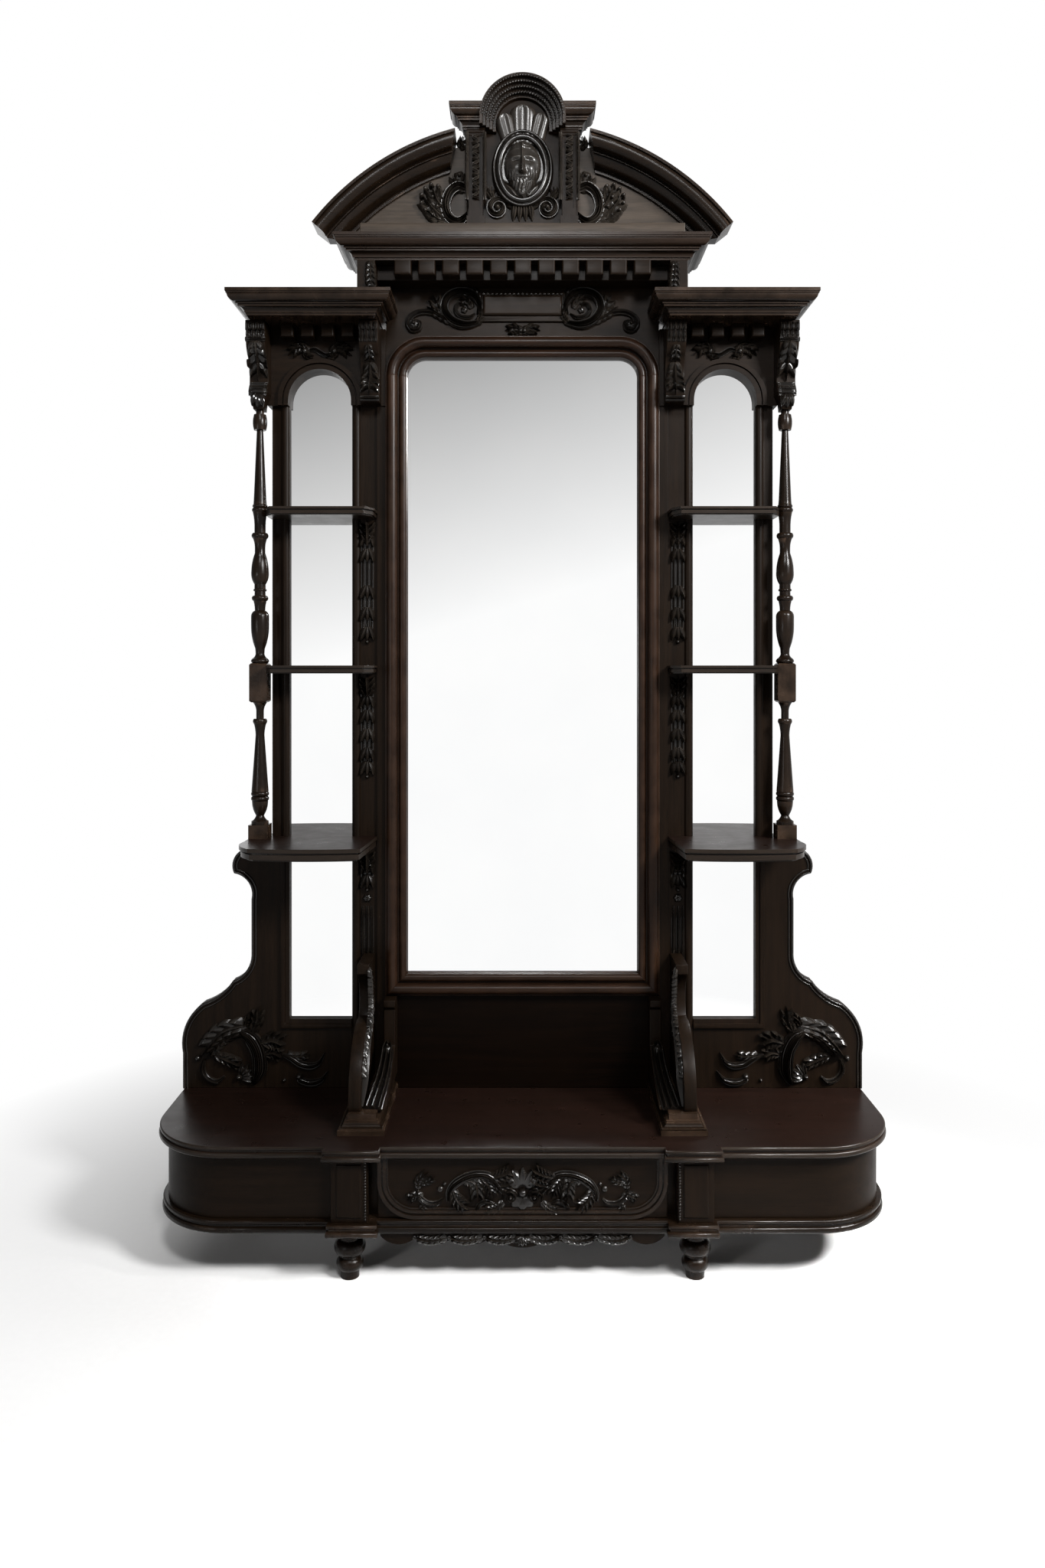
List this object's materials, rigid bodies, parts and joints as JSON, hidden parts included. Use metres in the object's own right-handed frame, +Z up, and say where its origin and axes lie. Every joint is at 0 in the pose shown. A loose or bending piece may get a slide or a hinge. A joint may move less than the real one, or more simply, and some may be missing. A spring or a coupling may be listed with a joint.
{
  "type": "hall mirror with side shelves",
  "caption": "Tall carved hall mirror in dark wood with mirrored shelf bays, turned columns, broken arched pediment and a low console base with a drawer.",
  "frame": {"origin": "floor level under the middle of the object's box", "axes": "+Z up, the mirror faces -Y, +X to the right seen from the front"},
  "size_m": [1.749, 0.424, 2.854],
  "materials": {
    "dark_wood": "dark stain, satin polish",
    "carved_wood": "dark stain, gloss on the high points",
    "deck_wood": "red-brown dark stain, polished",
    "inner_wood": "unpolished",
    "mirror_glass": "silvered glass"
  },
  "bodies": {
    "stand": {"base_bottom": "dark_wood", "wing_panels": "dark_wood", "base_posts": "dark_wood", "feet": "dark_wood", "frame_left": "dark_wood", "frame_right": "dark_wood", "frame_top": "dark_wood", "frame_bottom": "dark_wood", "lower_panel": "dark_wood", "frieze_board": "dark_wood", "frieze_tablet": "dark_wood", "dentil_band": "dark_wood", "main_dentils": "dark_wood", "main_cornice": "dark_wood", "end_blocks": "dark_wood", "tympanum": "dark_wood", "pediment_arch_left": "dark_wood", "pediment_arch_right": "dark_wood", "crest_board": "dark_wood", "crest_pilasters": "dark_wood", "crest_cornices": "dark_wood", "crest_hood": "dark_wood", "inner_posts": "dark_wood", "outer_stiles": "dark_wood", "wing_boards": "dark_wood", "arch_boards": "dark_wood", "columns": "dark_wood", "side_cornices": "dark_wood", "side_dentils": "dark_wood", "bracket_plinths": "dark_wood", "outer_brackets": "dark_wood", "inner_brackets": "dark_wood", "frieze_carving": "carved_wood", "crest_carving": "carved_wood", "wing_carvings": "carved_wood", "husk_drops": "carved_wood", "medallion": "carved_wood", "medallion_head": "carved_wood", "outer_consoles": "carved_wood", "inner_consoles": "carved_wood", "apron": "carved_wood", "base_top": "deck_wood", "lower_shelves": "deck_wood", "middle_shelves": "deck_wood", "upper_shelves": "deck_wood", "drawer_runners": "inner_wood", "drawer_partitions": "inner_wood", "base_back": "inner_wood", "main_backboard": "inner_wood", "side_backboards": "inner_wood", "main_mirror": "mirror_glass", "side_mirrors": "mirror_glass"},
    "drawer": {"drawer_front": "dark_wood", "drawer_moulding": "dark_wood", "drawer_carving": "carved_wood", "drawer_sides": "inner_wood", "drawer_back": "inner_wood", "drawer_bottom": "inner_wood"}
  },
  "joints": [
    {"name": "drawer_slide", "type": "slide", "parent": "stand", "child": "drawer", "axis": [0, -1, 0], "range_m": [0, 0.22]}
  ]
}
